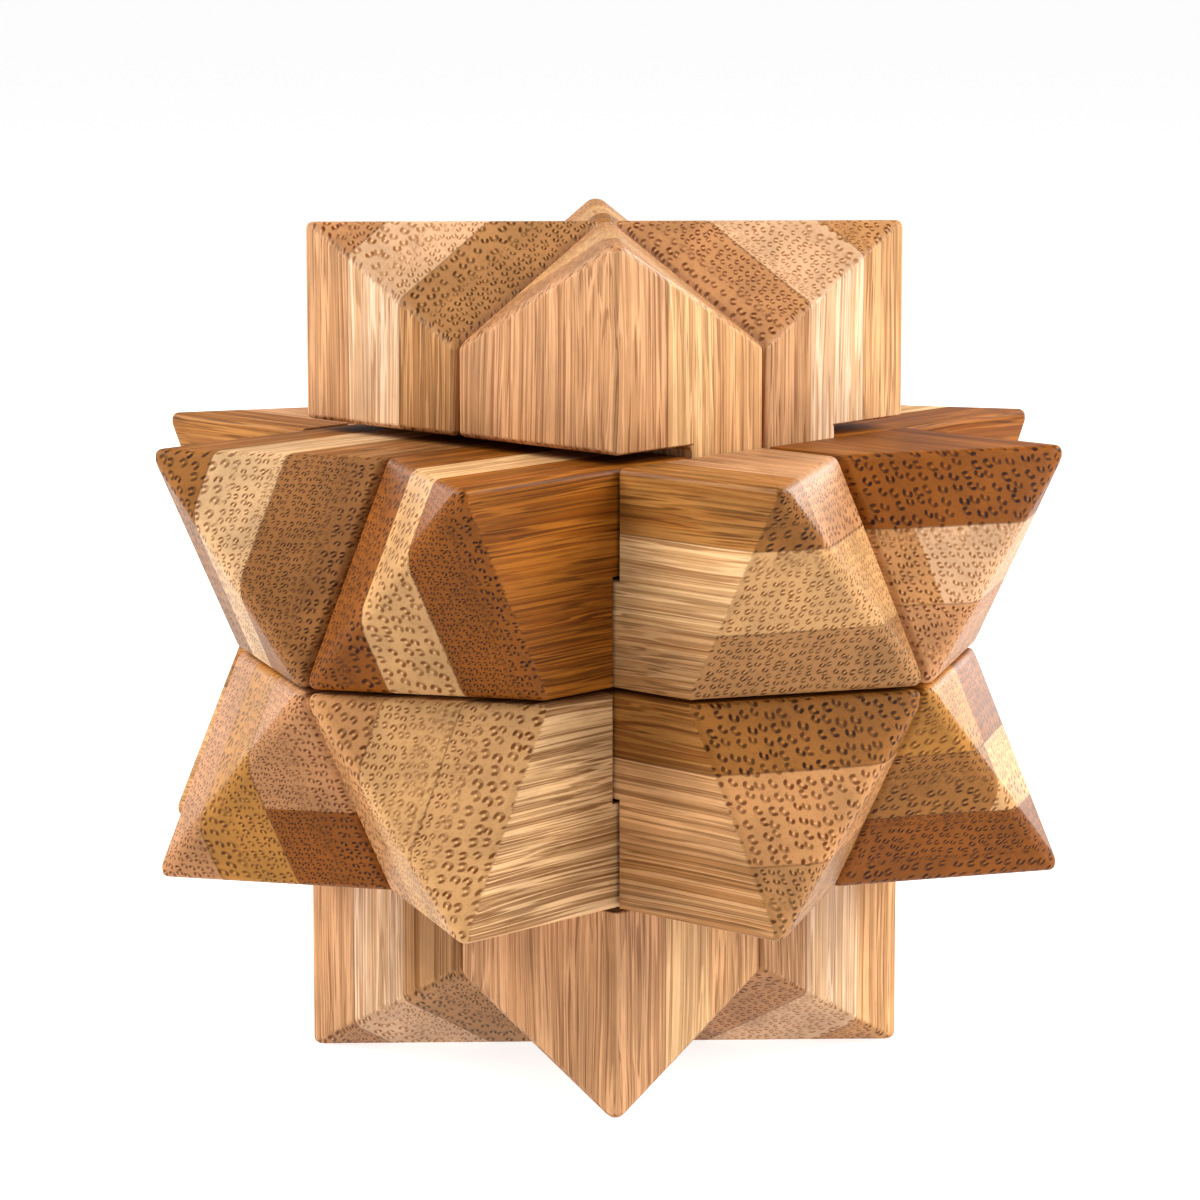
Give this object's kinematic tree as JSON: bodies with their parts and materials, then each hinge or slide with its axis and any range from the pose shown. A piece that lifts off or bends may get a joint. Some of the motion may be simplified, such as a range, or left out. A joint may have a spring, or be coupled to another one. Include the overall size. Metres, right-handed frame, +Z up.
{
  "type": "interlocking stick puzzle",
  "caption": "Bamboo burr puzzle of notched square sticks with roof-cut ends, crossing in three square bundles; the pieces draw apart sideways.",
  "frame": {"origin": "where the four uprights' lower ridges meet, on the surface that the puzzle stands on", "axes": "+Z up along the upright sticks, +X along the cross sticks to the right, +Y along the bridge sticks to the rear"},
  "size_m": [0.062, 0.062, 0.0627],
  "materials": {
    "cross_bamboo": "satin",
    "bridge_bamboo": "satin",
    "upright_bamboo": "satin"
  },
  "bodies": {
    "upright_front_left": {"upright_front_left": "upright_bamboo"},
    "upright_rear_left": {"upright_rear_left": "upright_bamboo"},
    "bridge_upper_left": {"bridge_upper_left": "bridge_bamboo"},
    "cross_half_upper_front_left": {"cross_half_upper_front_left": "cross_bamboo"},
    "cross_half_upper_rear_left": {"cross_half_upper_rear_left": "cross_bamboo"},
    "bridge_lower_left": {"bridge_lower_left": "bridge_bamboo"},
    "cross_half_lower_front_left": {"cross_half_lower_front_left": "cross_bamboo"},
    "cross_half_lower_rear_left": {"cross_half_lower_rear_left": "cross_bamboo"},
    "upright_front_right": {"upright_front_right": "upright_bamboo"},
    "upright_rear_right": {"upright_rear_right": "upright_bamboo"},
    "bridge_upper_right": {"bridge_upper_right": "bridge_bamboo"},
    "cross_half_upper_front_right": {"cross_half_upper_front_right": "cross_bamboo"},
    "cross_half_upper_rear_right": {"cross_half_upper_rear_right": "cross_bamboo"},
    "bridge_lower_right": {"bridge_lower_right": "bridge_bamboo"},
    "cross_half_lower_front_right": {"cross_half_lower_front_right": "cross_bamboo"},
    "cross_half_lower_rear_right": {"cross_half_lower_rear_right": "cross_bamboo"}
  },
  "joints": [
    {"name": "bridge_lower_right_pull", "type": "slide", "parent": "bridge_lower_left", "child": "bridge_lower_right", "axis": [1, 0, 0], "range_m": [0, 0.018]},
    {"name": "bridge_upper_left_pull", "type": "slide", "parent": "bridge_lower_left", "child": "bridge_upper_left", "axis": [-1, 0, 0], "range_m": [0, 0.018]},
    {"name": "upright_front_left_pull", "type": "slide", "parent": "bridge_upper_left", "child": "upright_front_left", "axis": [-1, 0, 0], "range_m": [0, 0.018]},
    {"name": "cross_half_upper_front_left_pull", "type": "slide", "parent": "upright_front_left", "child": "cross_half_upper_front_left", "axis": [-1, 0, 0], "range_m": [0, 0.018]},
    {"name": "cross_half_lower_front_left_pull", "type": "slide", "parent": "upright_front_left", "child": "cross_half_lower_front_left", "axis": [-1, 0, 0], "range_m": [0, 0.018]},
    {"name": "upright_rear_left_pull", "type": "slide", "parent": "bridge_upper_left", "child": "upright_rear_left", "axis": [-1, 0, 0], "range_m": [0, 0.018]},
    {"name": "cross_half_upper_rear_left_pull", "type": "slide", "parent": "upright_rear_left", "child": "cross_half_upper_rear_left", "axis": [-1, 0, 0], "range_m": [0, 0.018]},
    {"name": "cross_half_lower_rear_left_pull", "type": "slide", "parent": "upright_rear_left", "child": "cross_half_lower_rear_left", "axis": [-1, 0, 0], "range_m": [0, 0.018]},
    {"name": "bridge_upper_right_pull", "type": "slide", "parent": "bridge_lower_right", "child": "bridge_upper_right", "axis": [1, 0, 0], "range_m": [0, 0.018]},
    {"name": "upright_front_right_pull", "type": "slide", "parent": "bridge_upper_right", "child": "upright_front_right", "axis": [1, 0, 0], "range_m": [0, 0.018]},
    {"name": "cross_half_upper_front_right_pull", "type": "slide", "parent": "upright_front_right", "child": "cross_half_upper_front_right", "axis": [1, 0, 0], "range_m": [0, 0.018]},
    {"name": "cross_half_lower_front_right_pull", "type": "slide", "parent": "upright_front_right", "child": "cross_half_lower_front_right", "axis": [1, 0, 0], "range_m": [0, 0.018]},
    {"name": "upright_rear_right_pull", "type": "slide", "parent": "bridge_upper_right", "child": "upright_rear_right", "axis": [1, 0, 0], "range_m": [0, 0.018]},
    {"name": "cross_half_upper_rear_right_pull", "type": "slide", "parent": "upright_rear_right", "child": "cross_half_upper_rear_right", "axis": [1, 0, 0], "range_m": [0, 0.018]},
    {"name": "cross_half_lower_rear_right_pull", "type": "slide", "parent": "upright_rear_right", "child": "cross_half_lower_rear_right", "axis": [1, 0, 0], "range_m": [0, 0.018]}
  ]
}
